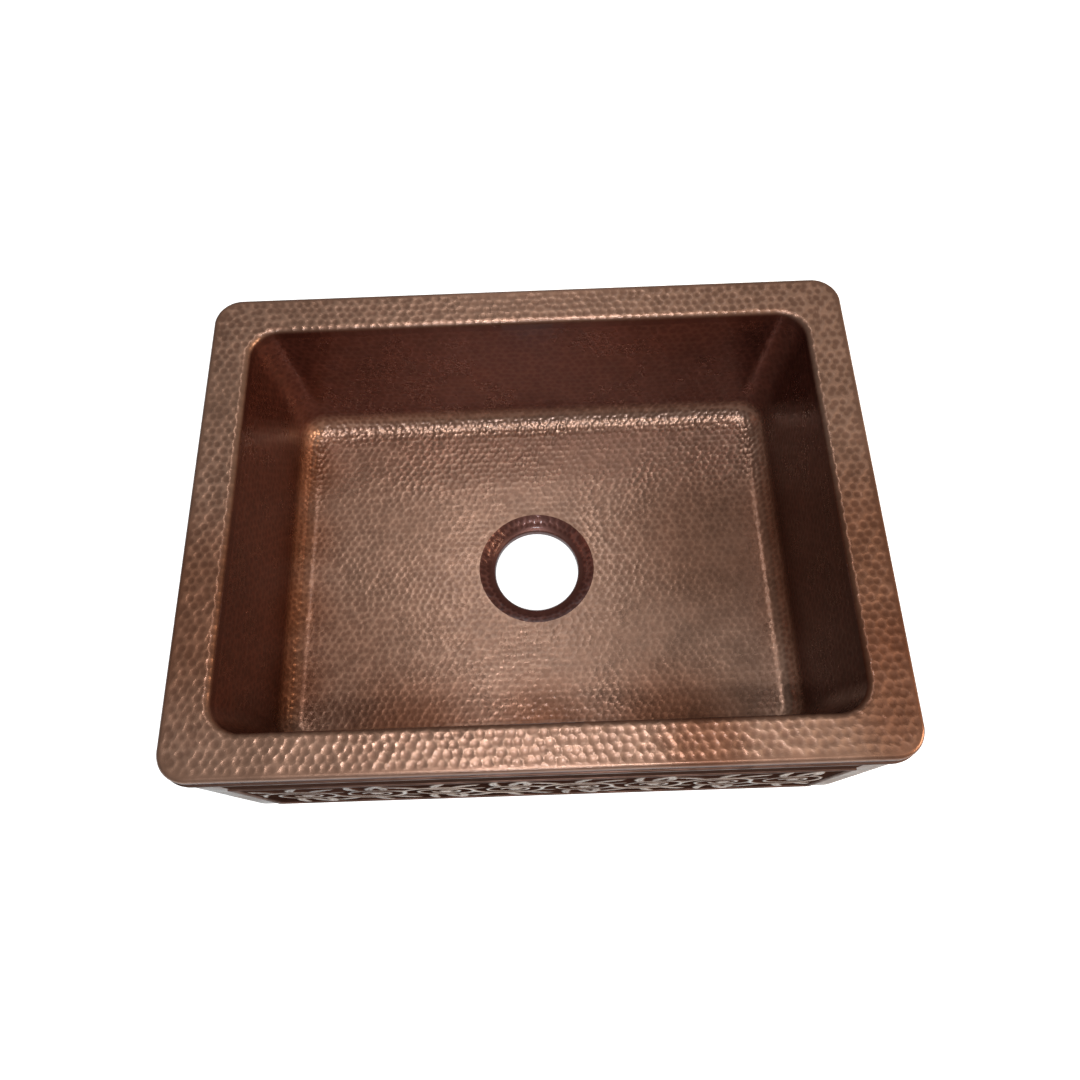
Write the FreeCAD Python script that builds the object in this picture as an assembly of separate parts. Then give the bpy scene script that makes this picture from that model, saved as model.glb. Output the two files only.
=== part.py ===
import FreeCAD, Part
import os
from math import ceil, cos, hypot, pi, radians, sin, sqrt

# Farmhouse apron-front sink in hammered copper sheet: a bowl hung from a flat rim inside a four-sided skirt.
# Millimetres, +Z up. The origin is the middle of the footprint, on the surface that the sink stands on.
# The ornamented apron faces -Y and the long side runs along X.

# Overall
rim_length = 610.0            # along X, over the rim's turned-down edges
rim_depth = 460.0             # along Y, over the same edges
sink_height = 203.0           # foot to rim
sheet = 1.6                   # thickness of all the copper sheet

# Rim
rim_width = 38.0              # outer edge to bowl mouth
rim_corner_radius = 26.0
rim_edge_radius = 4.0         # outside bend where the rim turns down
rim_turn_down = 14.0          # height of the turned-down outer edge
mouth_edge_radius = 6.0       # bend where the rim turns down into the bowl
mouth_turn_down = 12.0        # height of that inner turn

# Bowl
floor_height = 35.0           # top of the floor above the foot
wall_taper = 12.0             # how far each wall leans in between the rim and the floor
bowl_corner_radius = 27.0
floor_fillet = 20.0           # curve between floor and walls
pan_upstand = 22.0            # floor to the weld seam between pan and walls

# Drain
drain_hole_radius = 44.45     # 3 1/2 inch hole
drain_seat_width = 16.5       # hole to the seat's outer edge
drain_seat_drop = 9.0         # floor to the flat of the seat
drain_flat_width = 4.5        # flat of the seat, next to the collar's bend
drain_bend_radius = 2.0       # bend between the flat and the collar
drain_collar = 5.0            # straight, turned-down collar

# Skirt and apron
stile_width = 43.0            # plain stile at each end of the apron panel
bead_proud = 1.5              # how far beads and ornament stand out
bead_rounding = 1.3
edge_bead_height = 6.0
edge_bead_overlap = 1.0       # how far the edge bead reaches above the skirt's top edge
frame_bead_width = 4.0
plain_band = 54.0             # rim to the framed field
foot_band = 7.0               # foot to the framed field

# Ornament on the apron
bay_pitch = 64.0              # wanted length of one half wave of the vine
vine_width = 5.0
spiral_width = 3.6
spiral_step = 6.5             # how much the radius drops at each half turn
spiral_turns = 3              # half turns
rosette_radius = 5.5
leaf_width = 11.0
crest_fan = (-30, 0, 30)      # degrees of the leaves outside the vine's wave
hollow_fan = (-28, -3, 22)    # degrees of the leaves outside the spiral
ornament_margin = 4.0         # clear ground between ornament and frame

# Foot and floor bearers
foot_width = 20.0
foot_corner_radius = 4.0      # inner corners of the foot strips
bearer_spacing = 260.0        # centre to centre along X
bearer_top_width = 30.0
bearer_flange = 12.0
bearer_end_gap = 0.3          # bearer end to skirt

# Worked-out sizes
skirt_top = sink_height - rim_turn_down
wall_top = sink_height - mouth_turn_down
wall_foot = floor_height + pan_upstand
mouth_length = rim_length - 2 * rim_width
mouth_depth = rim_depth - 2 * rim_width
wall_slope = wall_taper / (sink_height - floor_height)
apron_width = rim_length - 2 * stile_width
apron_face = -rim_depth / 2
field_top = sink_height - plain_band
reach = rim_length + rim_depth            # larger than the sink, for cutting shapes


def vector(x, y, z):
    return FreeCAD.Vector(x, y, z)


def rounded_outline(length, depth, radius, z):
    """Closed wire of a rectangle with round corners, centred on the Z axis at height z."""
    a, b = length / 2, depth / 2
    short = radius * (1 - sqrt(0.5))
    edges = []
    for x, y in ((1, 1), (-1, 1), (-1, -1), (1, -1)):
        start = vector(x * a, y * (b - radius), z)
        middle = vector(x * (a - short), y * (b - short), z)
        end = vector(x * (a - radius), y * b, z)
        if x * y < 0:
            start, end = end, start
        if edges:
            edges.append(Part.LineSegment(last, start).toShape())
        else:
            first = start
        edges.append(Part.Arc(start, middle, end).toShape())
        last = end
    edges.append(Part.LineSegment(last, first).toShape())
    return Part.Wire(edges)


def rounded_block(length, depth, radius, z_low, z_high):
    """Upright block with round vertical corners."""
    return Part.Face(rounded_outline(length, depth, radius, z_low)).extrude(vector(0, 0, z_high - z_low))


def box(x_low, x_high, y_low, y_high, z_low, z_high):
    return Part.makeBox(x_high - x_low, y_high - y_low, z_high - z_low, vector(x_low, y_low, z_low))


def edges_at_height(shape, z):
    """The edges of a shape that lie flat at one height."""
    return [edge for edge in shape.Edges
            if abs(edge.BoundBox.ZMin - z) < 1e-4 and abs(edge.BoundBox.ZMax - z) < 1e-4]


def is_at_mouth(edge):
    """True for an edge nearer to the bowl's mouth than to the rim's outside."""
    middle = edge.CenterOfMass
    return max(abs(middle.x) - mouth_length / 2, abs(middle.y) - mouth_depth / 2) < rim_width / 2


def bowl_space(outside, z_low, z_high):
    """The bowl's leaning space between two heights, grown outwards by the given amount."""
    outlines = []
    for z in (z_low, z_high):
        growth = 2 * (outside - wall_slope * (sink_height - z))
        outlines.append(rounded_outline(mouth_length + growth, mouth_depth + growth,
                                        bowl_corner_radius + outside, z))
    return Part.makeLoft(outlines, True, True)


def bowl_shell():
    """The bowl's sheet, from under the floor to the rim, with its curved floor edges."""
    inside = bowl_space(0, floor_height, sink_height)
    inside = inside.makeFillet(floor_fillet, edges_at_height(inside, floor_height))
    underside = floor_height - sheet
    outside = bowl_space(sheet, underside, sink_height)
    outside = outside.makeFillet(floor_fillet + sheet, edges_at_height(outside, underside))
    return outside.cut(inside)


def skirt_shell(z_low, z_high):
    """The four outer walls, as one ring of sheet."""
    ring = rounded_block(rim_length, rim_depth, rim_corner_radius, z_low, z_high)
    return ring.cut(rounded_block(rim_length - 2 * sheet, rim_depth - 2 * sheet,
                                  rim_corner_radius - sheet, z_low, z_high))


def side_wedge(side):
    """Upright prism over one side of the sink, cut through the middle of its round corners."""
    near = (rim_length - rim_depth) / 2
    far = reach / 2
    wide = far - near
    outlines = {
        "right": [(near, 0), (far, -wide), (far, wide)],
        "left": [(-near, 0), (-far, wide), (-far, -wide)],
        "back": [(-near, 0), (near, 0), (far, wide), (-far, wide)],
        "front": [(near, 0), (-near, 0), (-far, -wide), (far, -wide)],
    }
    points = [vector(x, y, 0) for x, y in outlines[side]]
    return Part.Face(Part.makePolygon(points + points[:1])).extrude(vector(0, 0, sink_height))


def rim_form(inset):
    """Solid of the rim's outer surface, or of the space under its sheet when inset by the sheet's thickness."""
    low = min(skirt_top, wall_top)
    top = sink_height - inset
    form = rounded_block(rim_length - 2 * inset, rim_depth - 2 * inset, rim_corner_radius - inset, low, top)
    form = form.cut(bowl_space(inset, low, top + 1))
    form = form.makeFillet(mouth_edge_radius - inset, [e for e in edges_at_height(form, top) if is_at_mouth(e)])
    return form.makeFillet(rim_edge_radius - inset, [e for e in edges_at_height(form, top) if not is_at_mouth(e)])


def deck_rim():
    """Flat rim with its outer and inner edges turned down, bent from one sheet."""
    rim = rim_form(0).cut(rim_form(sheet))
    low = min(skirt_top, wall_top) - 1
    middle_length, middle_depth = mouth_length + rim_width, mouth_depth + rim_width
    inner = rounded_block(middle_length, middle_depth, bowl_corner_radius, low, wall_top)
    outer = rounded_block(rim_length + 2, rim_depth + 2, rim_corner_radius, low, skirt_top)
    outer = outer.cut(rounded_block(middle_length, middle_depth, bowl_corner_radius, low, skirt_top))
    return rim.cut(inner).cut(outer)


def edge_bead():
    """Half-round band round the sink, over the seam between the rim and the skirt."""
    high = skirt_top + edge_bead_overlap
    low = high - edge_bead_height
    bead = rounded_block(rim_length + 2 * bead_proud, rim_depth + 2 * bead_proud,
                         rim_corner_radius + bead_proud, low, high)
    bead = bead.makeFillet(bead_rounding, edges_at_height(bead, low) + edges_at_height(bead, high))
    return bead.cut(rounded_block(rim_length, rim_depth, rim_corner_radius, low, high))


def bowl_wall(side):
    """One leaning wall, welded to its neighbours along the middle of the round corners."""
    return bowl_shell().common(box(-reach, reach, -reach, reach, wall_foot, wall_top)).common(side_wedge(side))


def bowl_floor():
    """Hammered pan with curved edges and a round opening for the drain seat."""
    pan = bowl_shell().common(box(-reach, reach, -reach, reach, 0, wall_foot))
    opening = Part.makeCylinder(drain_hole_radius + drain_seat_width, wall_foot)
    return pan.cut(opening)


def drain_seat():
    """Dished ring that sinks the drain hole into the floor: cone, flat, bend and straight collar."""
    hole = drain_hole_radius
    edge = hole + drain_seat_width
    flat_outside = hole + drain_bend_radius + drain_flat_width
    flat_inside = hole + drain_bend_radius
    flat_top = floor_height - drain_seat_drop
    bend = flat_top - drain_bend_radius
    collar_foot = bend - drain_collar
    run = edge - flat_outside
    cone_sheet = sheet * hypot(run, drain_seat_drop) / run        # the cone's thickness, measured upright
    under_edge = flat_outside + run * (cone_sheet - sheet) / drain_seat_drop

    def bend_arc(radius, start, end):
        turn = radius * sqrt(0.5)
        return Part.Arc(start, vector(flat_inside - turn, 0, bend + turn), end).toShape()

    def line(start, end):
        return Part.LineSegment(start, end).toShape()

    top = [vector(edge, 0, floor_height), vector(flat_outside, 0, flat_top), vector(flat_inside, 0, flat_top)]
    collar = [vector(hole, 0, bend), vector(hole, 0, collar_foot),
              vector(hole + sheet, 0, collar_foot), vector(hole + sheet, 0, bend)]
    under = [vector(flat_inside, 0, flat_top - sheet), vector(under_edge, 0, flat_top - sheet),
             vector(edge, 0, floor_height - cone_sheet)]
    edges = [line(top[0], top[1]), line(top[1], top[2]), bend_arc(drain_bend_radius, top[2], collar[0]),
             line(collar[0], collar[1]), line(collar[1], collar[2]), line(collar[2], collar[3]),
             bend_arc(drain_bend_radius - sheet, collar[3], under[0]),
             line(under[0], under[1]), line(under[1], under[2]), line(under[2], top[0])]
    return Part.Face(Part.Wire(edges)).revolve(vector(0, 0, 0), vector(0, 0, 1), 360)


def band(x, z, radius, width, upper):
    """Half ring of the given width on the apron, over or under its centre."""
    side = 1 if upper else -1
    outer, inner = radius + width / 2, radius - width / 2
    arcs = [Part.Arc(vector(x - r, 0, z), vector(x, 0, z + side * r), vector(x + r, 0, z)).toShape()
            for r in (outer, inner)]
    ends = [Part.LineSegment(vector(x + way * inner, 0, z), vector(x + way * outer, 0, z)).toShape()
            for way in (-1, 1)]
    return Part.Face(Part.Wire(Part.__sortEdges__(arcs + ends)))


def leaf(x, z, angle, start, length):
    """Pointed leaf that grows outwards from a centre, at an angle from straight up."""
    along = vector(sin(angle), 0, cos(angle))
    across = vector(cos(angle), 0, -sin(angle)) * (leaf_width / 2)
    base = vector(x, 0, z) + along * start
    tip = base + along * length
    middle = (base + tip) * 0.5
    sides = [Part.Arc(base, middle + across, tip).toShape(), Part.Arc(tip, middle - across, base).toShape()]
    return Part.Face(Part.Wire(sides))


def vine_bay(x, z, bay, field_half, upper):
    """Half wave of the vine with the spiral in its hollow, a rosette and two fans of leaves."""
    shapes = [band(x, z, bay / 2, vine_width, upper)]
    end = x + bay / 2
    way = -1
    for turn in range(spiral_turns):
        radius = bay / 2 - (turn + 1) * spiral_step
        centre = end + way * radius
        shapes.append(band(centre, z, radius, spiral_width, upper == bool(turn % 2)))
        end = centre + way * radius
        way = -way
    shapes.append(Part.Face(Part.Wire(Part.makeCircle(rosette_radius, vector(centre, 0, z), vector(0, 1, 0)))))
    leaf_reach = field_half - ornament_margin
    for degrees in crest_fan:
        angle = radians(degrees) + (0 if upper else pi)
        shapes.append(leaf(x, z, angle, bay / 2, leaf_reach - bay / 2))
    hollow = bay / 2 - spiral_step
    for degrees in hollow_fan:
        angle = pi - radians(degrees) if upper else radians(degrees)
        shapes.append(leaf(x + spiral_step, z, angle, hollow, leaf_reach - hollow))
    return shapes


def ornament():
    """Raised foliate scroll over the framed field of the apron."""
    inner_length = apron_width - frame_bead_width - 2 * ornament_margin - vine_width
    bays = max(2, ceil(inner_length / bay_pitch - 0.5))
    bay = inner_length / bays
    z = (field_top + foot_band) / 2
    field_half = (field_top - foot_band) / 2 - frame_bead_width
    shapes = []
    for index in range(bays):
        x = (index - (bays - 1) / 2) * bay
        shapes += vine_bay(x, z, bay, field_half, index % 2 == 0)
    root = sheet / 2
    raised = []
    for shape in shapes:
        shape.translate(vector(0, apron_face + root, 0))
        raised.append(shape.extrude(vector(0, -root - bead_proud, 0)))
    return raised


def apron_panel():
    """Flat front panel between the stiles, with the ornament raised on its face."""
    panel = box(-apron_width / 2, apron_width / 2, apron_face, apron_face + sheet, 0, skirt_top)
    return panel.multiFuse(ornament()).removeSplitter()


def frame_bead(x_low, x_high, z_low, z_high):
    """Straight half-round moulding on the apron's face."""
    front = apron_face - bead_proud
    bead = box(x_low, x_high, front, apron_face, z_low, z_high)
    along_x = x_high - x_low > z_high - z_low
    edges = []
    for edge in bead.Edges:
        bounds = edge.BoundBox
        length = bounds.XLength if along_x else bounds.ZLength
        if bounds.YMax < front + 1e-4 and length > frame_bead_width:
            edges.append(edge)
    return bead.makeFillet(bead_rounding, edges)


def side_skirt(side):
    """Plain end wall that wraps both of its corners, up to the front and back panels."""
    ring = skirt_shell(0, skirt_top)
    inner = apron_width / 2
    return ring.common(box(inner, reach, -reach, reach, 0, skirt_top) if side > 0
                       else box(-reach, -inner, -reach, reach, 0, skirt_top))


def skirt_back():
    """Plain back wall."""
    inner = apron_width / 2
    return skirt_shell(0, skirt_top).common(box(-inner, inner, 0, reach, 0, skirt_top))


def foot_strip(side):
    """Flat strip brazed inside the skirt's lower edge, mitred at the corners."""
    length, depth = rim_length - 2 * sheet, rim_depth - 2 * sheet
    ring = rounded_block(length, depth, rim_corner_radius - sheet, 0, sheet)
    ring = ring.cut(rounded_block(length - 2 * foot_width, depth - 2 * foot_width, foot_corner_radius, 0, sheet))
    return ring.common(side_wedge(side))


def floor_bearer(side):
    """Folded hat channel that carries the floor, standing on the front and back foot strips."""
    x = side * bearer_spacing / 2
    half = bearer_top_width / 2
    end = rim_depth / 2 - sheet - bearer_end_gap
    foot, top = sheet, floor_height - sheet
    body = box(x - half, x + half, -end, end, foot, top)
    flanges = box(x - half - bearer_flange, x + half + bearer_flange, -end, end, foot, foot + sheet)
    inside = box(x - half + sheet, x + half - sheet, -end, end, foot, top - sheet)
    return body.fuse(flanges).cut(inside).removeSplitter()


def export(name, shape):
    """Write one node, checking that it is a single sound solid."""
    if len(shape.Solids) != 1 or not shape.Solids[0].isValid():
        raise ValueError(name + " is not one sound solid")
    shape.Solids[0].exportStep("parts/" + name + ".step")


os.makedirs("parts", exist_ok=True)
export("deck_rim", deck_rim())
export("edge_bead", edge_bead())
for side in ("front", "back", "left", "right"):
    export("bowl_wall_" + side, bowl_wall(side))
    export("foot_strip_" + side, foot_strip(side))
export("bowl_floor", bowl_floor())
export("drain_seat", drain_seat())
export("apron_panel", apron_panel())
frame_outside = (apron_width + frame_bead_width) / 2
frame_inside = frame_outside - frame_bead_width
export("apron_bead_top", frame_bead(-frame_outside, frame_outside, field_top - frame_bead_width, field_top))
export("apron_bead_bottom", frame_bead(-frame_outside, frame_outside, foot_band, foot_band + frame_bead_width))
for name, way in (("left", -1), ("right", 1)):
    ends = sorted((way * frame_inside, way * frame_outside))
    export("apron_bead_" + name, frame_bead(*ends, foot_band + frame_bead_width, field_top - frame_bead_width))
    export("skirt_" + name, side_skirt(way))
    export("floor_bearer_" + name, floor_bearer(way))
export("skirt_back", skirt_back())
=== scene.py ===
import bpy
import numpy as np
from mathutils import Euler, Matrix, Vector


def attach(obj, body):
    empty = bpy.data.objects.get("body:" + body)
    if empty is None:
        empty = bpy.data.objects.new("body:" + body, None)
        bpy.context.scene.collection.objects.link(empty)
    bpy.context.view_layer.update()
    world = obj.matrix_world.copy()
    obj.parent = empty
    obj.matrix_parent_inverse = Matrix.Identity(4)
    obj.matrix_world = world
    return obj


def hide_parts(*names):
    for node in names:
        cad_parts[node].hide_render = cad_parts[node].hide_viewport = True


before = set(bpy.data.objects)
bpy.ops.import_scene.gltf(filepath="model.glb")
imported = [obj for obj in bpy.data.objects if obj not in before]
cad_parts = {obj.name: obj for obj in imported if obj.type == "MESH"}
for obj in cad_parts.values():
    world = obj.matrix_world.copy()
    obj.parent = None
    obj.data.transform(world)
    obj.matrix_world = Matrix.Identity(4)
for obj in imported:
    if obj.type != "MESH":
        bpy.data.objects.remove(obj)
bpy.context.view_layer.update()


# ---- Bowl pan ------------------------------------------------------------------------------------------------
# The floor of the bowl: one copper sheet raised over a form, hammered all over with a round-faced hammer, its
# edges curved up to meet the walls. It is welded to the walls 22 mm above the floor and opened for the drain.
MM = 0.001
SHEET = 1.6                       # thickness of all the copper sheet, in millimetres as every size below
FLOOR_HEIGHT = 35.0
RIM_HEIGHT = 203.0
MOUTH = (267.0, 192.0)            # half sizes of the bowl at the rim's height
BOWL_CORNER = 27.0
FLOOR_CURVE = 20.0                # radius between floor and walls
SEAM_HEIGHT = 57.0                # weld between pan and walls
LEAN = 12.0 / (RIM_HEIGHT - FLOOR_HEIGHT)
SEAT_EDGE = 60.95                 # radius of the opening for the drain seat
FOOT = np.array(MOUTH) - LEAN * (RIM_HEIGHT - FLOOR_HEIGHT)      # half sizes where wall and floor would meet
FINE = 6                          # cells of every worked face along one cell of its plain back
wall_angle = np.arctan(1 / LEAN)  # turn of the sheet from floor to wall
flat_corner = BOWL_CORNER - FLOOR_CURVE * np.tan(wall_angle / 2)
curve_length = FLOOR_CURVE * wall_angle
curve_height = FLOOR_CURVE * (1 - np.cos(wall_angle))
upstand = (SEAM_HEIGHT - FLOOR_HEIGHT - curve_height) / np.sin(wall_angle)
x_axis, y_axis, up_axis = np.eye(3)


def soft_step(value, low, high):
    """0 below low, 1 above high and a smooth S curve between."""
    t = np.clip((value - low) / (high - low), 0, 1)
    return t * t * (3 - 2 * t)


def hammer_marks(x, y, pitch, seed, around=None, crisp=18):
    """Depth of overlapping round dents and its slopes along x and y, for dents 1 deep.

    Each dent is a bowl, depth * (1 - (r / radius)^(2 * flat)), scattered from its place in a lattice of
    triangles. The surface is the soft maximum log(1 + sum(exp(crisp * bowl))) / crisp, so ridges are left
    between dents. The dents repeat after 256 rows and columns or, with around, after that many columns, so that
    the lattice closes.
    """
    rows, columns = 256, around or 256
    smallest, largest = 0.50, 0.66                               # radius, as a share of the pitch
    scatter = 0.44                                               # a share of the pitch too
    flat = 1.1                                                   # 1 is a parabola, more has a flatter middle
    random = np.random.default_rng(seed).random((rows, columns, 4))
    step = pitch * np.sqrt(0.75)
    row = np.floor(y / step).astype(int)
    total = np.ones(x.shape)
    slopes = np.zeros((2,) + x.shape)
    for up in (-2, -1, 0, 1, 2):
        line = row + up
        shift = 0.5 * (line % 2)
        column = np.floor(x / pitch - shift).astype(int)
        for side in (-2, -1, 0, 1, 2):
            dent = random[line % rows, (column + side) % columns]
            dx = x - (column + side + 0.5 + shift + scatter * (dent[..., 0] - 0.5)) * pitch
            dy = y - (line + 0.5 + scatter * (dent[..., 1] - 0.5)) * step
            radius = pitch * (smallest + (largest - smallest) * dent[..., 2])
            depth = 0.78 + 0.22 * dent[..., 3]
            part = (dx * dx + dy * dy) / radius ** 2
            bowl = depth * (1 - part ** flat)
            weight = np.exp(crisp * np.clip(bowl, -1, 1))
            steepness = weight * 2 * flat * depth * part ** (flat - 1) / radius ** 2
            total += weight
            slopes -= steepness * np.stack([dx, dy])
    return np.log(total) / crisp, slopes[0] / total, slopes[1] / total


def unit(vectors):
    """The same directions with length 1."""
    return vectors / np.maximum(np.linalg.norm(vectors, axis=-1, keepdims=True), 1e-12)


def hammered(points, normals, along, up, marks):
    """Points pressed in by the marks' depth, with the normals that its slopes give: n + slope * tangent."""
    depth, slope_along, slope_up = marks
    pressed = points - depth[..., None] * normals
    return pressed, unit(normals + slope_along[..., None] * along + slope_up[..., None] * up)


def sheet_faces(rows, columns, kept, closed):
    """Faces of a closed sheet, with its worked face's points numbered first, row by row, and then its back's.

    The worked face has every cell of its grid, the back only every FINE-th line. A strip with FINE + 3
    corners joins the two wherever a kept cell of the back has no kept neighbour.
    """
    back_columns = len(range(0, columns, FINE))

    def fine(i, j):
        return i * columns + j % columns

    def coarse(i, j):
        return rows * columns + i * back_columns + j % back_columns

    i, j = np.nonzero(np.kron(kept, np.ones((FINE, FINE), bool)))
    quads = np.stack([fine(i, j), fine(i + 1, j), fine(i + 1, j + 1), fine(i, j + 1)], 1)
    i, j = np.nonzero(kept)
    under = np.stack([coarse(i, j), coarse(i, j + 1), coarse(i + 1, j + 1), coarse(i + 1, j)], 1)
    strips = []
    # Each side of a cell: the corner it starts from, its direction, and where the neighbour beyond it lies.
    for (i0, j0), (di, dj), (ni, nj) in (((0, 0), (1, 0), (0, -1)), ((1, 0), (0, 1), (1, 0)),
                                         ((1, 1), (-1, 0), (0, 1)), ((0, 1), (0, -1), (-1, 0))):
        a, b = i + ni, j + nj
        if closed:
            b = b % kept.shape[1]
        inside = (a >= 0) & (a < kept.shape[0]) & (b >= 0) & (b < kept.shape[1])
        joined = np.zeros(len(i), bool)
        joined[inside] = kept[a[inside], b[inside]]
        start_i, start_j = (i + i0)[~joined], (j + j0)[~joined]
        run = np.arange(FINE, -1, -1)[None, :]
        line = fine(start_i[:, None] * FINE + run * di, start_j[:, None] * FINE + run * dj)
        ends = np.stack([coarse(start_i, start_j), coarse(start_i + di, start_j + dj)], 1)
        strips.append(np.concatenate([line, ends], 1))
    return quads, under, np.concatenate(strips)


def sheet_piece(name, points, normals, back, mark, material, kept=None, closed=False):
    """Closed piece of sheet from a grid of points on its worked face and the plain grid behind it.

    normals are the shading normals of the worked face and mark its pattern, 0 on a ridge and 1 in a dent. kept
    leaves out cells of the back's grid, and closed joins the last column to the first.
    """
    rows, columns = points.shape[:2]
    if kept is None:
        kept = np.ones(((rows - 1) // FINE, (columns if closed else columns - 1) // FINE), bool)
    faces = sheet_faces(rows, columns, kept, closed)
    points, face_side = points.reshape(-1, 3), normals.reshape(-1, 3)
    first = faces[0][0]
    across, down = points[first[2]] - points[first[0]], points[first[3]] - points[first[1]]
    if np.dot(np.cross(across, down), face_side[first[0]]) < 0:  # turned to face the way the normals point
        faces = [part[:, ::-1] for part in faces]
    places = np.concatenate([points, back[::FINE, ::FINE].reshape(-1, 3)])
    behind = -normals[::FINE, ::FINE].reshape(-1, 3)
    used, renumbered = np.unique(np.concatenate([part.ravel() for part in faces]), return_inverse=True)
    split = np.cumsum([part.size for part in faces])[:-1]
    faces = [numbers.reshape(part.shape) for numbers, part in zip(np.split(renumbered, split), faces)]
    mesh = bpy.data.meshes.new(name)
    polygons = [polygon for part in faces for polygon in part.tolist()]
    mesh.from_pydata((places[used] * MM).tolist(), [], polygons, shade_flat=False)
    flat_normals = np.zeros(len(mesh.polygons) * 3)
    mesh.polygons.foreach_get("normal", flat_normals)
    sheet_normals = np.concatenate([face_side, behind])[used]
    strip_normals = np.repeat(flat_normals.reshape(-1, 3)[-len(faces[2]):], faces[2].shape[1], axis=0)
    corners = [sheet_normals[faces[0].ravel()], sheet_normals[faces[1].ravel()], strip_normals]
    mesh.normals_split_custom_set(np.concatenate(corners).tolist())
    shade = np.concatenate([mark.ravel(), np.full(len(behind), 0.5)])[used]
    mesh.attributes.new("mark", "FLOAT", "POINT").data.foreach_set("value", shade.astype(np.float32))
    mesh.materials.append(material)
    piece = bpy.data.objects.new(name, mesh)
    bpy.context.scene.collection.objects.link(piece)
    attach(piece, "root")
    return piece


def copper_finish(name, ridge, pit, tint, gloss, metal=(0.5, 0.6), coat=0.24, edge=0.8, clear=0.5,
                  marked=True, grain=0.35, wall=None, shade_and_dark_spots=()):
    """Darkened copper under thin lacquer.

    ridge and pit are the two colours of its marks, and tint the colour of the large patches that the patina
    leaves. gloss is the roughness and metal the bare metal's share, for those same two. edge is how much light
    the metal returns when seen almost edge on, and clear the shine of the dark patina itself. marked says that
    the piece has a mark attribute, and grain is the strength of its finest texture. wall has two deeper
    colours for the bowl's inner walls between floor and rim, which are painted shade. shade_and_dark_spots are
    round places where it is darker and more orange, each with a centre and a reach in metres and a share: on
    the floor they are mostly painted shadow, on the rim darker places.
    """
    material = bpy.data.materials.new(name)
    material.use_nodes = True
    nodes, links = material.node_tree.nodes, material.node_tree.links
    shader = nodes["Principled BSDF"]
    shader.inputs["Specular IOR Level"].default_value = clear
    shader.inputs["Specular Tint"].default_value = (edge, edge, edge, 1)
    shader.inputs["Coat Weight"].default_value = coat
    shader.inputs["Coat Roughness"].default_value = 0.13
    place = nodes.new("ShaderNodeTexCoord").outputs["Object"]

    def cloud(scale, detail, roughness=0.55):
        noise = nodes.new("ShaderNodeTexNoise")
        noise.inputs["Scale"].default_value = scale
        noise.inputs["Detail"].default_value = detail
        noise.inputs["Roughness"].default_value = roughness
        links.new(place, noise.inputs["Vector"])
        return noise.outputs["Fac"]

    def spread(value, low, high, to_low, to_high):
        node = nodes.new("ShaderNodeMapRange")
        node.interpolation_type = "SMOOTHSTEP"
        for socket, number in zip(node.inputs[1:5], (low, high, to_low, to_high)):
            socket.default_value = number
        links.new(value, node.inputs[0])
        return node.outputs[0]

    def mix(kind, factor, a, b):
        node = nodes.new("ShaderNodeMix")
        node.data_type = "RGBA"
        node.blend_type = kind
        for socket, given in ((node.inputs[0], factor), (node.inputs[6], a), (node.inputs[7], b)):
            if isinstance(given, bpy.types.NodeSocket):
                links.new(given, socket)
            else:
                socket.default_value = given
        return node.outputs[2]

    # Ridges and dents: the marks' own pattern or, where there are none, soft clouds.
    if marked:
        attribute = nodes.new("ShaderNodeAttribute")
        attribute.attribute_name = "mark"
        height = spread(attribute.outputs["Fac"], 0.32, 0.84, 0, 1)
    else:
        height = spread(cloud(45, 3), 0.35, 0.65, 0, 1)
    colour = mix("MIX", height, (*ridge, 1), (*pit, 1))
    colour = mix("MIX", spread(cloud(7, 3), 0.42, 0.68, 0, 0.6), colour, (*tint, 1))

    # The wall's colours, from the floor's curve up to where the rim rolls in: painted shade, darker than the
    # same sheet on floor and rim.
    if wall:
        split = nodes.new("ShaderNodeSeparateXYZ")
        links.new(place, split.inputs[0])
        above_floor = spread(split.outputs["Z"], 0.044, 0.064, 0, 1)
        below_rim = spread(split.outputs["Z"], 0.1965, 0.2022, 1, 0)
        between = nodes.new("ShaderNodeMath")
        between.operation = "MULTIPLY"
        links.new(above_floor, between.inputs[0])
        links.new(below_rim, between.inputs[1])
        colour = mix("MIX", between.outputs[0], colour, mix("MIX", height, (*wall[0], 1), (*wall[1], 1)))
    # Darker, more orange places: on the floor mostly painted shadow, on the rim darker places.
    for centre, reach, share in shade_and_dark_spots:
        away = nodes.new("ShaderNodeVectorMath")
        away.operation = "DISTANCE"
        away.inputs[1].default_value = centre
        links.new(place, away.inputs[0])
        fading = spread(away.outputs["Value"], 0.25 * reach, reach, share, 0)
        colour = mix("MULTIPLY", fading, colour, (0.62, 0.42, 0.30, 1))

    # Small blotches in brightness, roughness and surface.
    blotch = spread(cloud(60, 4, 0.65), 0.3, 0.7, 0.88, 1.10)
    tone = nodes.new("ShaderNodeHueSaturation")
    links.new(blotch, tone.inputs["Value"])
    links.new(colour, tone.inputs["Color"])
    links.new(tone.outputs["Color"], shader.inputs["Base Color"])
    links.new(spread(height, 0, 1, *metal), shader.inputs["Metallic"])
    sheen_noise = spread(cloud(24, 3), 0.3, 0.7, -0.05, 0.06)
    rough = nodes.new("ShaderNodeMath")
    rough.operation = "ADD"
    links.new(spread(height, 0, 1, *gloss), rough.inputs[0])
    links.new(sheen_noise, rough.inputs[1])
    links.new(rough.outputs[0], shader.inputs["Roughness"])
    bump = nodes.new("ShaderNodeBump")
    bump.inputs["Strength"].default_value = grain
    bump.inputs["Distance"].default_value = 0.0002
    links.new(cloud(650, 3), bump.inputs["Height"])
    links.new(bump.outputs["Normal"], shader.inputs["Normal"])
    return material


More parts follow.
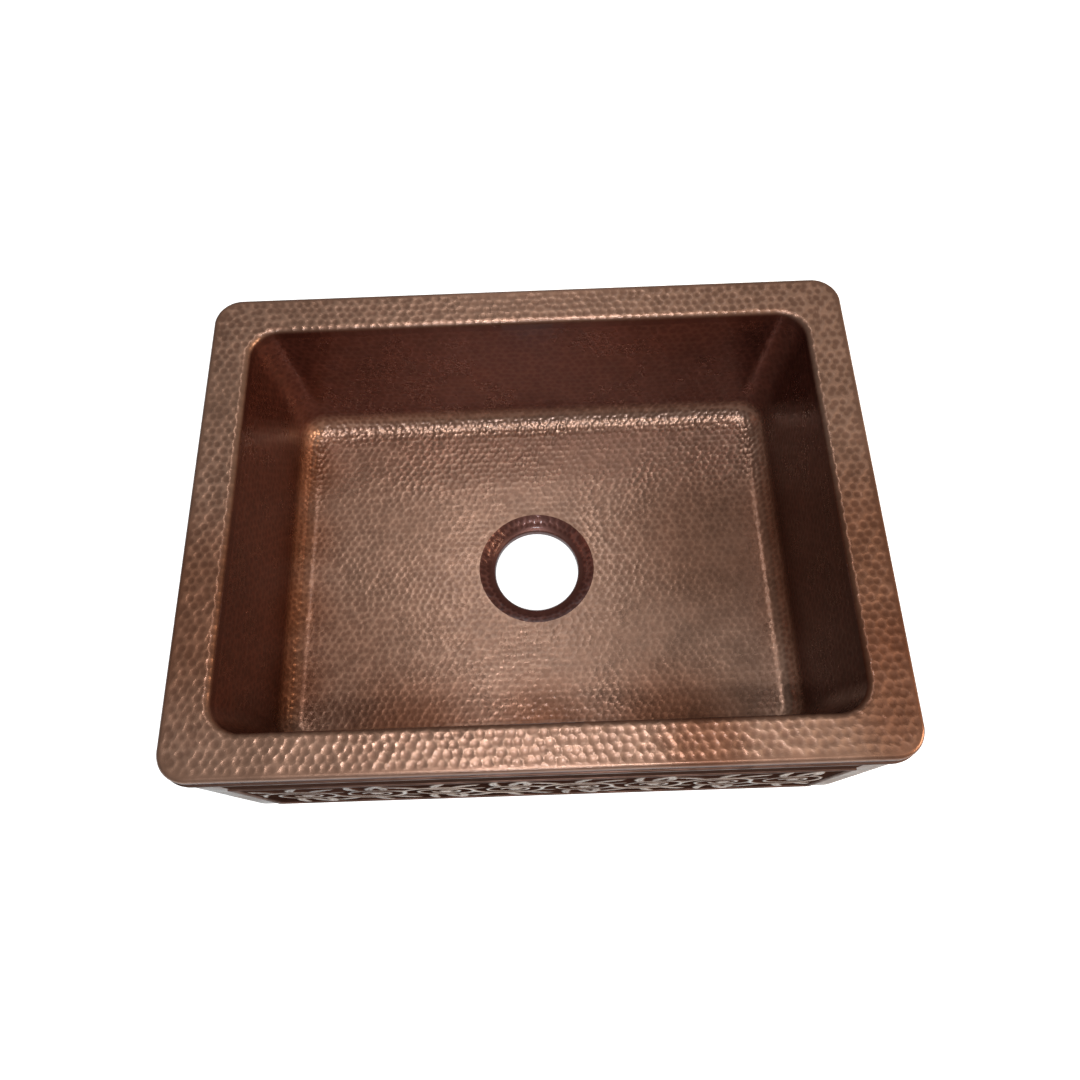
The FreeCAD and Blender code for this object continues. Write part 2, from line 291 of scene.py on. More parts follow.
def outline_distance(fx, fy, angle):
    """Distance round the bowl's mouth from the middle of its front left corner, turning through the front.

    fx and fy run from -1 to 1 along the straight sides, and angle is the outward direction. Each corner adds
    radius * angle, and each straight side the share of it that has been passed.
    """
    turned = (angle - np.radians(225)) % (2 * np.pi)
    quarter = np.pi / 2
    long_side, short_side = MOUTH[0] - BOWL_CORNER, MOUTH[1] - BOWL_CORNER
    front = np.where(turned < quarter, long_side * (1 + fx), 2 * long_side)
    right = np.where(turned < 2 * quarter, short_side * (1 + fy), 2 * short_side)
    right = np.where(turned < quarter, 0, right)
    back = np.where(turned < 3 * quarter, long_side * (1 - fx), 2 * long_side)
    back = np.where(turned < 2 * quarter, 0, back)
    left = np.where(turned < 3 * quarter, 0, short_side * (1 - fy))
    return BOWL_CORNER * turned + front + right + back + left


WALL_PITCH = 7.8
WALL_DEPTH = 0.13
FOOT_DEPTH = 0.46                 # where the walls rise from the floor
FOOT_HEIGHTS = (44, 80)           # between which the one becomes the other
mouth_round = 4 * (MOUTH[0] + MOUTH[1] - 2 * BOWL_CORNER) + 2 * np.pi * BOWL_CORNER
wall_columns = int(round(mouth_round / WALL_PITCH))


def wall_marks(distance, height):
    """The walls' marks and their pattern, closed round the bowl: deep at the foot, then shallower."""
    pitch = mouth_round / wall_columns
    full = hammer_marks(distance, height, pitch, 5, around=wall_columns)
    amount = WALL_DEPTH + (FOOT_DEPTH - WALL_DEPTH) * (1 - soft_step(height, *FOOT_HEIGHTS))
    return [amount * part for part in full], full[0]


# Where the colour is made darker and more orange: places round the rim, and on the floor.
# On the rim these are darker places only.
shade_and_dark_spots = [((0.286, -0.075, 0.2), 0.15, 0.75), ((0.131, -0.212, 0.2), 0.05, 0.8),
          ((0.29, -0.215, 0.2), 0.05, 0.5), ((0.29, -0.165, 0.2), 0.08, 0.7), ((-0.287, -0.09, 0.2), 0.13, 0.7)]
# Painted shadow of the right wall on the floor right of the drain, then a darker place at the floor's front
# left.
shade_and_dark_spots += [((0.19, 0.03, 0.035), 0.13, 0.5), ((-0.21, -0.11, 0.035), 0.10, 0.35)]
# Painted shadow of the front wall along the floor's front.
shade_and_dark_spots += [((x, -0.19, 0.035), reach, 1.0) for x, reach in ((-0.13, 0.11), (0.0, 0.09), (0.13, 0.11))]
# Painted shade along the floor's two side curves, left then right.
shade_and_dark_spots += [((-0.262, y, 0.045), 0.065, 0.9) for y in (0.12, 0.04, -0.04, -0.12)]
shade_and_dark_spots += [((0.262, y, 0.045), 0.06, 0.5) for y in (0.06, 0.0, -0.06)]
# wall makes the bowl's inner walls far darker than floor and rim: painted shade.
hammered_copper = copper_finish("hammered_copper", ridge=(0.46, 0.268, 0.190), pit=(0.315, 0.170, 0.116),
                                tint=(0.37, 0.212, 0.148), gloss=(0.29, 0.32),
                                wall=((0.120, 0.034, 0.022), (0.095, 0.026, 0.017)), shade_and_dark_spots=shade_and_dark_spots)
FLOOR_PITCH = 7.3
FLOOR_DEPTH = 0.26
HALF_CELLS = np.array([28, 20])   # cells of the back's grid on each side of its middle
BLOCK_CELLS = 6                   # of them, those left out for the drain
BEND_END = 2.0                    # where the lines round the drain are straight again, in blocks
half = FOOT - BOWL_CORNER         # centre of the corner's curve
reach = flat_corner + curve_length + upstand                     # from that centre out to the weld
edge = half + reach
u, v = np.meshgrid(np.linspace(-1, 1, 2 * HALF_CELLS[0] * FINE + 1) * edge[0],
                   np.linspace(-1, 1, 2 * HALF_CELLS[1] * FINE + 1) * edge[1], indexing="ij")

# The grid's middle block is left out, and the lines round it are bent to the circle of the drain's opening. A
# point on them lies at (1 - bend) * straight + bend * circle.
block = edge * BLOCK_CELLS / HALF_CELLS
square = np.maximum(np.abs(u) / block[0], np.abs(v) / block[1])
bend = 1 - soft_step(square, 1, BEND_END)
direction = np.arctan2(v / block[1], u / block[0])
ring = SEAT_EDGE + (square - 1) * block[1]
u, v = (1 - bend) * u + bend * ring * np.cos(direction), (1 - bend) * v + bend * ring * np.sin(direction)

# Round the corners the flat grid is drawn on a quarter disc, (p sqrt(1 - q^2/2c^2), q sqrt(1 - p^2/2c^2)), and
# its radius is then carried up the curve and the upstand: s is the way out from the flat's edge.
p, q = np.maximum(np.abs(u) - half[0], 0), np.maximum(np.abs(v) - half[1], 0)
out_x, out_y = p * np.sqrt(1 - q * q / (2 * reach ** 2)), q * np.sqrt(1 - p * p / (2 * reach ** 2))
out = np.hypot(out_x, out_y)
s = out - flat_corner
turn = np.clip(s / FLOOR_CURVE, 0, wall_angle)
past = np.maximum(s - curve_length, 0)
rise = FLOOR_CURVE * (1 - np.cos(turn)) + past * np.sin(wall_angle)
spread_out = FLOOR_CURVE * np.sin(turn) + past * np.cos(wall_angle) + np.minimum(s, 0) + flat_corner
grown = LEAN * rise                                              # the corner's centre leans out with the wall
toward = unit(np.stack([out_x, out_y, 0 * out], -1)) * np.stack([np.sign(u), np.sign(v), 0 * u], -1)
core = np.stack([np.sign(u) * np.minimum(np.abs(u), half[0]) * (1 + grown / half[0]),
                 np.sign(v) * np.minimum(np.abs(v), half[1]) * (1 + grown / half[1]),
                 FLOOR_HEIGHT + rise], -1)
pan = core + toward * np.where(out > 0, spread_out - grown, 0)[..., None]
pan_normals = np.cos(turn)[..., None] * up_axis - np.sin(turn)[..., None] * toward
climbing = np.cos(turn)[..., None] * toward + np.sin(turn)[..., None] * up_axis
sideways = np.stack([-toward[..., 1], toward[..., 0], 0 * u], -1)

# The floor's marks fade out near the drain, vary over the floor, and give way to the wall's up the curve. The
# foot of the back wall was struck harder than the other three, and its marks are shaded as deeper still.
CURVE_BLEND = 14.0                # how far up the curve the wall's marks have taken over
BACK_STRUCK = (60, 130)           # how far behind the middle the harder blows set in
floor_part = hammer_marks(pan[..., 0], pan[..., 1], FLOOR_PITCH, 11)
round_way = outline_distance(np.clip(u / half[0], -1, 1), np.clip(v / half[1], -1, 1),
                             np.arctan2(toward[..., 1], toward[..., 0]))
seam_way = FLOOR_HEIGHT + curve_height + (s - curve_length)
wall_part, wall_shade = wall_marks(round_way, seam_way)
to_wall = soft_step(s, 0, CURVE_BLEND)
at_back = soft_step(v, *BACK_STRUCK)
calm = soft_step(np.hypot(u, v), SEAT_EDGE, SEAT_EDGE + 5)
uneven = 0.82 + 0.34 * np.sin(u / 41 + 1.3 * np.sin(v / 37)) * np.sin(v / 33 + 0.7)
struck = 1 + 1.1 * soft_step(s, -30, 0) * at_back
on_floor = (1 - to_wall) * calm * uneven * FLOOR_DEPTH * struck
depth = on_floor * floor_part[0] + to_wall * wall_part[0]
steeper = 1 + 2.3 * at_back * np.exp(-((s - 6) / 9) ** 2)
slope_floor = (steeper * on_floor * floor_part[1])[..., None] * x_axis \
    + (steeper * on_floor * floor_part[2])[..., None] * y_axis
slope_wall = (steeper * to_wall * wall_part[1])[..., None] * sideways \
    + (steeper * to_wall * wall_part[2])[..., None] * climbing
# The mark, and so the colour, is darker along the curve at the foot of the back wall: painted shade that dims
# the highlight there.
pan_mark = (1 - to_wall) * floor_part[0] + to_wall * wall_shade + 0.1 * (steeper - 1)
kept = np.ones(2 * HALF_CELLS, bool)
kept[tuple(slice(cells - BLOCK_CELLS, cells + BLOCK_CELLS) for cells in HALF_CELLS)] = False
bowl_pan = sheet_piece("bowl_pan", pan - depth[..., None] * pan_normals,
                       unit(pan_normals + slope_floor + slope_wall), pan - SHEET * pan_normals, pan_mark,
                       hammered_copper, kept)
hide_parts("bowl_floor")


# ---- Drain seat ----------------------------------------------------------------------------------------------
# A dished ring spun from copper and brazed into the pan: a cone struck with narrow marks, a smooth flat for the
# strainer's flange, and a short collar turned down through the 3 1/2 inch hole. It is coloured darker than the
# pan.
HOLE = 44.45
FLAT_EDGE = HOLE + 6.5            # where the cone meets the flat
FLAT_HEIGHT = 26.0
LIP = 2.0                         # radius of the bend from flat to collar
COLLAR_FOOT = 19.0
SEAT_DEPTH = 0.42
SEAT_MARKS = 54                   # in one turn
SEAT_MIDDLE = 56.0                # radius at which they are as far apart as the lattice has them
SEAT_STRETCH = 1 / 0.62           # their length down the cone over their width
seat_copper = copper_finish("seat_copper", ridge=(0.28, 0.115, 0.088), pit=(0.165, 0.064, 0.050),
                            tint=(0.20, 0.080, 0.062), gloss=(0.30, 0.36), coat=0.4)


def line(start, end, count):
    """Points from start towards end, without the end."""
    t = np.arange(count)[:, None] / count
    return (1 - t) * np.array(start, float) + t * np.array(end, float)


cone = line((SEAT_EDGE, FLOOR_HEIGHT), (FLAT_EDGE, FLAT_HEIGHT), 10)
flat = line((FLAT_EDGE, FLAT_HEIGHT), (HOLE + LIP, FLAT_HEIGHT), 4)
lip_turn = np.radians(90 * np.arange(5)[:, None] / 5)
lip = np.hstack([HOLE + LIP - LIP * np.sin(lip_turn), FLAT_HEIGHT - LIP + LIP * np.cos(lip_turn)])
collar = np.vstack([line((HOLE, FLAT_HEIGHT - LIP), (HOLE, COLLAR_FOOT), 5), [[HOLE, COLLAR_FOOT]]])
profile = np.vstack([cone, flat, lip, collar])
cone_turn = np.arctan2(FLOOR_HEIGHT - FLAT_HEIGHT, SEAT_EDGE - FLAT_EDGE)

# The flat and the lip are shaded as if they went on from the cone, so that the seat reads as one dish.
tilt = np.concatenate([np.full(len(cone), cone_turn), cone_turn * np.linspace(0.92, 0.7, len(flat)),
                       np.linspace(0.7 * cone_turn, np.pi / 2, len(lip)), np.full(len(collar), np.pi / 2)])
around = np.radians(np.arange(50 * FINE) * 360 / (50 * FINE))
circle = np.stack([np.cos(around), np.sin(around), 0 * around], -1)
tangent = np.stack([-np.sin(around), np.cos(around), 0 * around], -1)
plain_seat = profile[:, None, :1] * circle[None] + profile[:, None, 1:] * up_axis
seat_normals = np.cos(tilt)[:, None, None] * up_axis - np.sin(tilt)[:, None, None] * circle[None]
inward = -np.cos(tilt)[:, None, None] * circle[None] - np.sin(tilt)[:, None, None] * up_axis
seat_way = np.concatenate([[0], np.cumsum(np.hypot(*np.diff(profile, axis=0).T))])
marks = hammer_marks(around[None] * SEAT_MIDDLE + 0 * seat_way[:, None],
                     seat_way[:, None] / SEAT_STRETCH + 0 * around[None],
                     2 * np.pi * SEAT_MIDDLE / SEAT_MARKS, 23, around=SEAT_MARKS)
share = (soft_step(seat_way, 0, 2) * (1 - soft_step(seat_way, 11, 15)))[:, None]     # only the cone is struck
seat_depth = [SEAT_DEPTH * share * part for part in marks]
seat, seat_shaded = hammered(plain_seat, seat_normals, tangent[None] + 0 * plain_seat, inward, seat_depth)
seat_back = plain_seat - SHEET * seat_normals
seat_mark = marks[0] * share + 0.66 * (1 - share)
drain_ring = sheet_piece("drain_ring", seat, seat_shaded, seat_back, seat_mark, seat_copper, closed=True)
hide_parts("drain_seat")


# ---- Bowl walls ----------------------------------------------------------------------------------------------
# Four leaning copper sheets, lightly hammered, bent round half of each corner and welded to each other down the
# middle of the corners. Their feet stand on the pan's upstand, and their tops meet the rim's inner turn.
WALL_TOP = 191.0
WALL_ROWS = 14 * FINE
corner = BOWL_CORNER * np.pi / 2
sides = [2 * (MOUTH[0] - BOWL_CORNER), 2 * (MOUTH[1] - BOWL_CORNER)]


def outline(distance, lengths, corner_length):
    """fx, fy and outward angle, as outline_distance has them, at a distance along an outline."""
    stops, fx, fy, angle = [0], [-1], [-1], [225]
    for index, (x, y) in enumerate(((1, -1), (1, 1), (-1, 1), (-1, -1))):
        stops += [stops[-1] + (corner_length / 2 if index == 0 else corner_length)]
        fx, fy, angle = fx + [fx[-1]], fy + [fy[-1]], angle + [270 + 90 * index]
        stops += [stops[-1] + lengths[index % 2]]
        fx, fy, angle = fx + [x], fy + [y], angle + [angle[-1]]
    stops += [stops[-1] + corner_length / 2]
    fx, fy, angle = fx + [-1], fy + [-1], angle + [angle[-1] + 45]
    return (np.interp(distance, stops, fx), np.interp(distance, stops, fy),
            np.radians(np.interp(distance, stops, angle)))


def round_corners(fx, fy, angle, centre_x, centre_y, radius, height):
    """Points of level outlines with round corners: (fx cx + r cos, fy cy + r sin, height), one a row."""
    return np.stack([fx * centre_x[:, None] + radius[:, None] * np.cos(angle),
                     fy * centre_y[:, None] + radius[:, None] * np.sin(angle),
                     height[:, None] + 0 * angle], -1)


wall_start = 0.0
for name, straight, cells in (("front", 0, 54), ("right", 1, 39), ("back", 0, 54), ("left", 1, 39)):
    wall_end = wall_start + sides[straight] + corner
    distance = np.linspace(wall_start, wall_end, cells * FINE + 1)
    height = np.linspace(SEAM_HEIGHT, WALL_TOP, WALL_ROWS + 1)
    fx, fy, angle = outline(distance, sides, corner)
    drop = LEAN * (RIM_HEIGHT - height)
    wall = round_corners(fx, fy, angle, MOUTH[0] - BOWL_CORNER - drop, MOUTH[1] - BOWL_CORNER - drop,
                         BOWL_CORNER + 0 * height, height)
    toward = np.stack([np.cos(angle), np.sin(angle), 0 * angle], -1)[None] + 0 * wall
    wall_normals = np.cos(wall_angle) * up_axis - np.sin(wall_angle) * toward
    climbing = np.cos(wall_angle) * toward + np.sin(wall_angle) * up_axis
    sideways = np.stack([-toward[..., 1], toward[..., 0], 0 * toward[..., 0]], -1)
    marks, shade = wall_marks(distance[None] + 0 * height[:, None], height[:, None] + 0 * distance[None])
    pressed, shaded = hammered(wall, wall_normals, sideways, climbing, marks)
    piece = sheet_piece("wall_" + name, pressed, shaded, wall - SHEET * wall_normals, shade, hammered_copper)
    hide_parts("bowl_wall_" + name)
    wall_start = wall_end


# ---- Deck rim ------------------------------------------------------------------------------------------------
# The flat rim that lies on the worktop's edge: one sheet, bent down outside over a 4 mm radius and rolled into
# the bowl's mouth over 6 mm. It has the deepest and widest marks.
OUTSIDE = (305.0, 230.0)
OUTSIDE_CORNER = 26.0
EDGE_BEND = 4.0
MOUTH_BEND = 6.0
LIP_FOOT = 189.0
RIM_PITCH = 8.4
RIM_DEPTH = 0.56
LIP_ROWS, BEND_ROWS, FLAT_ROWS, ROLL_ROWS, FOOT_ROWS = 3, 6, 21, 9, 4     # of points, from outside to inside
bend_top = RIM_HEIGHT - EDGE_BEND
bend = np.radians(np.arange(BEND_ROWS) * 90 / BEND_ROWS)
turn = np.concatenate([np.zeros(LIP_ROWS), bend, np.full(FLAT_ROWS, np.pi / 2)])
level = np.concatenate([np.linspace(LIP_FOOT, bend_top, LIP_ROWS + 1)[:-1],
                        bend_top + EDGE_BEND * np.sin(bend), np.full(FLAT_ROWS, RIM_HEIGHT)])
inset = np.concatenate([np.zeros(LIP_ROWS), EDGE_BEND * (1 - np.cos(bend)), np.full(FLAT_ROWS, EDGE_BEND)])
across = np.concatenate([np.zeros(LIP_ROWS + BEND_ROWS), np.arange(FLAT_ROWS) / FLAT_ROWS])
roll = wall_angle * np.linspace(0, 1, ROLL_ROWS)
tangent_out = MOUTH_BEND * np.tan(wall_angle / 2)
roll_level = RIM_HEIGHT - MOUTH_BEND * (1 - np.cos(roll))
foot_level = np.linspace(roll_level[-1], WALL_TOP, FOOT_ROWS + 1)[1:]
roll_out = np.concatenate([MOUTH[0] + tangent_out - MOUTH_BEND * np.sin(roll),
                           MOUTH[0] - LEAN * (RIM_HEIGHT - foot_level)])
roll_level = np.concatenate([roll_level, foot_level])
roll = np.concatenate([roll, np.full(FOOT_ROWS, wall_angle)])
deck_columns = 251 * FINE
deck_sides = [2 * (OUTSIDE[0] - OUTSIDE_CORNER), 2 * (OUTSIDE[1] - OUTSIDE_CORNER)]
DECK_CORNER = 45.0                # length given to each corner when the columns are shared out
deck_round = 2 * sum(deck_sides) + 4 * DECK_CORNER
fx, fy, angle = outline(np.arange(deck_columns) * deck_round / deck_columns, deck_sides, DECK_CORNER)
outer = round_corners(fx, fy, angle, OUTSIDE[0] - OUTSIDE_CORNER + 0 * turn,
                      OUTSIDE[1] - OUTSIDE_CORNER + 0 * turn, OUTSIDE_CORNER - inset, level)
centre = MOUTH[0] - BOWL_CORNER - LEAN * (RIM_HEIGHT - roll_level)
inner = round_corners(fx, fy, angle, centre, centre - MOUTH[0] + MOUTH[1], roll_out - centre, roll_level)
outer += across[:, None, None] * (inner[:1] - outer[-1:])
deck = np.concatenate([outer, inner])
toward = np.stack([np.cos(angle), np.sin(angle), 0 * angle], -1)[None] + 0 * deck
lean = np.concatenate([np.pi / 2 - turn, -roll])[:, None, None]  # from straight up, outwards
deck_normals = np.cos(lean) * up_axis + np.sin(lean) * toward
marks = hammer_marks(deck[..., 0], deck[..., 1], RIM_PITCH, 31)

# The marks are full on the flat, weaker where it rolls into the bowl and left out on the turned-down edge.
flatness = np.concatenate([0.1 + 0.9 * soft_step(across * (OUTSIDE[0] - MOUTH[0]), 0, 4.5),
                           0.45 + 0.55 * (1 - soft_step(roll, 0, 1.2))])
flatness[:LIP_ROWS] = 0
flatness[-FOOT_ROWS:] = 0.2
flatness = flatness[:, None]
slopes = RIM_DEPTH * flatness[..., None] * (marks[1][..., None] * x_axis + marks[2][..., None] * y_axis)
slopes -= deck_normals * np.sum(slopes * deck_normals, -1, keepdims=True)
pressed = deck - RIM_DEPTH * (flatness * marks[0])[..., None] * deck_normals
deck_mark = flatness * marks[0] + (1 - flatness) * 0.8
deck_mark[-len(roll):] += np.minimum(0.9 * roll, 0.6)[:, None]   # painted shade where it rolls into the bowl
rim = sheet_piece("hammered_rim", pressed, unit(deck_normals + slopes), deck - SHEET * deck_normals,
                  deck_mark, hammered_copper, closed=True)
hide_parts("deck_rim")


# ---- Skirt ---------------------------------------------------------------------------------------------------
# Plain outer walls in the same sheet, planished smooth: two ends that wrap their corners, and the back. The two
# ends of the front stay plain beside the ornament. Brazed to the rim's turned-down edge.
skirt_copper = copper_finish("skirt_copper", ridge=(0.335, 0.195, 0.145), pit=(0.285, 0.162, 0.118),
                             tint=(0.30, 0.170, 0.125), gloss=(0.22, 0.28), metal=(0.9, 0.85), coat=0.1,
                             edge=0.5, marked=False, grain=0.15)


def finish_node(name, material):
    """Gives a CAD node its finish."""
    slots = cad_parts[name].data.materials
    slots.clear()
    slots.append(material)


for name in ("skirt_left", "skirt_right", "skirt_back"):
    finish_node(name, skirt_copper)


# ---- Apron panel ---------------------------------------------------------------------------------------------
# The front face: a copper sheet worked from behind over pitch, so that a running scroll with leaves stands out
# from a stippled ground. It is darkened and the high parts are rubbed back, their colour also made paler and
# greyer as a painted reflection of the pale floor. A plain band is left under the rim.
PANEL_HALF = 262.0
PANEL_TOP = 189.0
FACE = -230.0
FIELD_TOP, FIELD_FOOT = 149.0, 7.0                               # outside of the ornament's frame
FRAME_BEAD = 4.0
MARGIN = 4.0                      # clear ground between ornament and frame
VINE = 5.0                        # width of the vine where its bays meet the margin
BAYS = 8
STEM, COIL = 2.7, 2.0             # half widths of the vine and of its spiral
SPIRAL_DROP = 6.5                 # by which each half turn of the spiral is smaller
RELIEF = 1.42                     # height of the ornament, kept inside the beads' 1.5 mm
SHADED = 2.2                      # how much deeper it looks than it is
STIPPLE = 0.16                    # depth of the ground's marks
# ridge is rubbed copper made pale and greyish: partly a painted reflection of the floor.
scroll_copper = copper_finish("scroll_copper", ridge=(0.60, 0.455, 0.38), pit=(0.040, 0.017, 0.012),
                              tint=(0.08, 0.038, 0.028), gloss=(0.14, 0.55), metal=(0.95, 0.0), coat=0.0,
                              edge=0.8, clear=0.0)
half_bay = (2 * PANEL_HALF - FRAME_BEAD - 2 * MARGIN - VINE) / BAYS / 2
leaf_reach = (FIELD_TOP - FIELD_FOOT) / 2 - FRAME_BEAD - MARGIN
x, z = np.meshgrid(np.linspace(-PANEL_HALF, PANEL_HALF, 73 * FINE + 1),
                   np.linspace(0, PANEL_TOP, 26 * FINE + 1), indexing="ij")


def cord_height(distance, half_width):
    """Round-backed stem with a groove either side of its crown: sqrt(1 - d^2), cut by a narrow wave."""
    t = np.abs(distance) / half_width
    return np.sqrt(np.clip(1 - t * t, 0, 1)) * (1 - 0.22 * np.exp(-((t - 0.45) / 0.16) ** 2))


def leaf_height(along, across, length, width):
    """Pointed leaf with a hollow midrib and scalloped sides: a lens whose edge waves five times."""
    t = along / length
    edge = width * np.sqrt(np.clip(t * (1 - t), 0, 1)) * (1 + 0.16 * np.cos(10 * np.pi * t + 0.6))
    body = np.clip(1 - np.abs(across) / np.maximum(edge, 1e-6), 0, 1)
    inside = (t > 0) & (t < 1)
    veins = 0.88 + 0.12 * np.cos(2 * np.pi * (t * 5 - np.abs(across) / width))
    rib = 1 - 0.55 * np.exp(-(across / 0.7) ** 2)
    return np.where(inside, np.minimum(1, 1.7 * body) * veins * rib * (0.72 + 0.28 * t), 0)


def scroll_bay(dx, dz):
    """Height, from 0 to 1, of one bay of the scroll at dx and dz from its middle.

    The vine is a half circle above the middle line. It winds in through three smaller ones, by turns below and
    above, to a flower with six petals, and leaves stand out from the vine and from the first of the three.
    """
    height = np.where(dz >= 0, 0.92 * cord_height(np.hypot(dx, dz) - half_bay, STEM), 0)
    end, way = half_bay, -1
    for half_turn in range(3):
        radius = half_bay - (half_turn + 1) * SPIRAL_DROP
        coil_x = end + way * radius
        on_side = dz >= 0 if half_turn == 1 else dz <= 0
        coil = cord_height(np.hypot(dx - coil_x, dz) - radius, COIL + 0.15 * half_turn)
        height = np.maximum(height, np.where(on_side, 0.85 * coil, 0))
        end, way = coil_x + way * radius, -way
    out, round_it = np.hypot(dx - coil_x, dz), np.arctan2(dz, dx - coil_x)
    flower = np.clip(1 - (out / (7.2 + 1.0 * np.cos(6 * round_it))) ** 2, 0, 1) ** 0.5
    flower *= (0.78 + 0.22 * np.abs(np.cos(3 * round_it))) * (0.75 + 0.25 * (out > 2.2))
    height = np.maximum(height, flower)

    # Each leaf has its circle's middle, its direction from straight up, its start, its length and its width.
    far, near = leaf_reach - half_bay, leaf_reach - half_bay - 14
    leaves = [(0, degrees, half_bay, far, 13.5) for degrees in (-30, 0, 30)]
    leaves += [(SPIRAL_DROP, 180 - degrees, half_bay - SPIRAL_DROP, far + SPIRAL_DROP, 13.5)
               for degrees in (-28, -3, 22)]
    leaves += [(0, degrees, half_bay, near, 8.0) for degrees in (-62, 62)]
    for root_x, degrees, start, length, width in leaves:
        sine, cosine = np.sin(np.radians(degrees)), np.cos(np.radians(degrees))
        along = (dx - root_x) * sine + dz * cosine - start
        across = (dx - root_x) * cosine - dz * sine
        curl = across - 0.012 * along ** 2 * (1 if degrees % 360 < 180 else -1)
        height = np.maximum(height, 0.95 * leaf_height(along, curl, length, width))
    return height


def between(value, low, high, ease):
    """1 between low and high, and down to 0 at both of them over ease."""
    return soft_step(value, low, low + ease) * (1 - soft_step(value, high - ease, high))


relief = np.zeros(x.shape)
for index in range(BAYS):
    upright = 1 if index % 2 == 0 else -1                        # every other bay hangs upside down
    middle_x = (2 * index - BAYS + 1) * half_bay
    relief = np.maximum(relief, scroll_bay(x - middle_x, upright * (z - (FIELD_TOP + FIELD_FOOT) / 2)))
for _ in range(2):                # softens the steps, as metal pushed from behind has no sharp foot
    relief[1:-1, 1:-1] = (relief[1:-1, 1:-1] * 4 + relief[2:, 1:-1] + relief[:-2, 1:-1] + relief[1:-1, 2:]
                          + relief[1:-1, :-2]) / 8
clear = FRAME_BEAD + 1            # from the edge of panel or frame to where the worked ground ends
in_field = (between(x, clear - PANEL_HALF, PANEL_HALF - clear, 3)
            * between(z, FIELD_FOOT + clear, FIELD_TOP - clear, 3))
stipple = STIPPLE * hammer_marks(x, z, 4.2, 47, crisp=9)[0] * (1 - np.clip(relief * 3, 0, 1))
planished = 0.05 * hammer_marks(x, z, 11, 53)[0]
raised = in_field * (RELIEF * relief - stipple) - (1 - in_field) * planished
slope_x, slope_z = np.gradient(raised, x[:, 0], z[0])
panel = np.stack([x, FACE - raised, z], -1)
panel_normals = unit(np.stack([-SHADED * slope_x, -1 + 0 * x, -SHADED * slope_z], -1))
plain = np.stack([x, FACE + SHEET + 0 * x, z], -1)
apron_mark = 0.9 - in_field * 0.70 * np.clip(relief * 1.25 - 0.15, 0, 1) - 0.12 * (1 - in_field)
apron = sheet_piece("apron_scroll_panel", panel, panel_normals, plain, apron_mark, scroll_copper)
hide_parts("apron_panel")


# ---- Beads ---------------------------------------------------------------------------------------------------
# Thin half-round copper strips, brazed over the seam under the rim's edge and round the ornament. They are left
# dark and dull.
bead_copper = copper_finish("bead_copper", ridge=(0.19, 0.105, 0.082), pit=(0.11, 0.060, 0.045),
                            tint=(0.14, 0.078, 0.06), gloss=(0.36, 0.44), coat=0.0, edge=0.4, clear=0.2,
                            marked=False, grain=0.1)
for name in ("edge_bead", "apron_bead_top", "apron_bead_bottom", "apron_bead_left", "apron_bead_right"):
    finish_node(name, bead_copper)


# ---- Foot strips and floor bearers ---------------------------------------------------------------------------
# Unpolished flat strips brazed inside the skirt's foot, and two folded channels that carry the bowl's floor.
# They are seen only from below, and keep the mill's brighter, stained surface.
mill_copper = copper_finish("mill_copper", ridge=(0.56, 0.33, 0.235), pit=(0.42, 0.22, 0.15),
                            tint=(0.34, 0.17, 0.115), gloss=(0.34, 0.46), coat=0.0, marked=False, grain=0.5)
for side in ("front", "back", "left", "right"):
    finish_node("foot_strip_" + side, mill_copper)
for side in ("left", "right"):
    finish_node("floor_bearer_" + side, mill_copper)


# ---- Studio --------------------------------------------------------------------------------------------------
# A white floor that runs out of sight in a white room. One narrow lamp hangs in front of the sink, one over it
# and two behind it, and a warm one stands on its right. Windows are at the front, the back and the right. The
# camera is held over the front edge, where the outlines of rim, floor and drain put it.
FLOOR_HALF = 6.0
PAPER_GLOW = 0.93                 # of the floor as the camera sees it
PAPER_MIRRORED = 0.36             # and as the copper mirrors it, where it is also a little blue
ROOM_LIGHT = 0.075                # of the room on the sink, which the camera sees as white
AIM = (0, 0, 0.1)                 # what every lamp points at
corners = [(-FLOOR_HALF, -FLOOR_HALF, 0), (FLOOR_HALF, -FLOOR_HALF, 0), (FLOOR_HALF, FLOOR_HALF, 0),
           (-FLOOR_HALF, FLOOR_HALF, 0)]
floor_mesh = bpy.data.meshes.new("studio_floor")
floor_mesh.from_pydata(corners, [], [(0, 1, 2, 3)])
studio_floor = bpy.data.objects.new("studio_floor", floor_mesh)
bpy.context.scene.collection.objects.link(studio_floor)
paper = bpy.data.materials.new("paper")
paper.use_nodes = True
nodes, links = paper.node_tree.nodes, paper.node_tree.links
nodes.remove(nodes["Principled BSDF"])
matt = nodes.new("ShaderNodeBsdfDiffuse")
matt.inputs["Color"].default_value = (0.80, 0.83, 0.85, 1)
glow = nodes.new("ShaderNodeEmission")
path = nodes.new("ShaderNodeLightPath")
seen = nodes.new("ShaderNodeMath")
seen.operation = "MULTIPLY"
seen.inputs[1].default_value = PAPER_GLOW
links.new(path.outputs["Is Camera Ray"], seen.inputs[0])
mirrored = nodes.new("ShaderNodeMath")
mirrored.operation = "MULTIPLY_ADD"
mirrored.inputs[1].default_value = PAPER_MIRRORED
links.new(path.outputs["Is Glossy Ray"], mirrored.inputs[0])
links.new(seen.outputs[0], mirrored.inputs[2])
links.new(mirrored.outputs[0], glow.inputs["Strength"])
cool = nodes.new("ShaderNodeMix")
cool.data_type = "RGBA"
cool.inputs[6].default_value = (1, 1, 1, 1)
cool.inputs[7].default_value = (0.78, 0.92, 1.0, 1)
links.new(path.outputs["Is Glossy Ray"], cool.inputs[0])
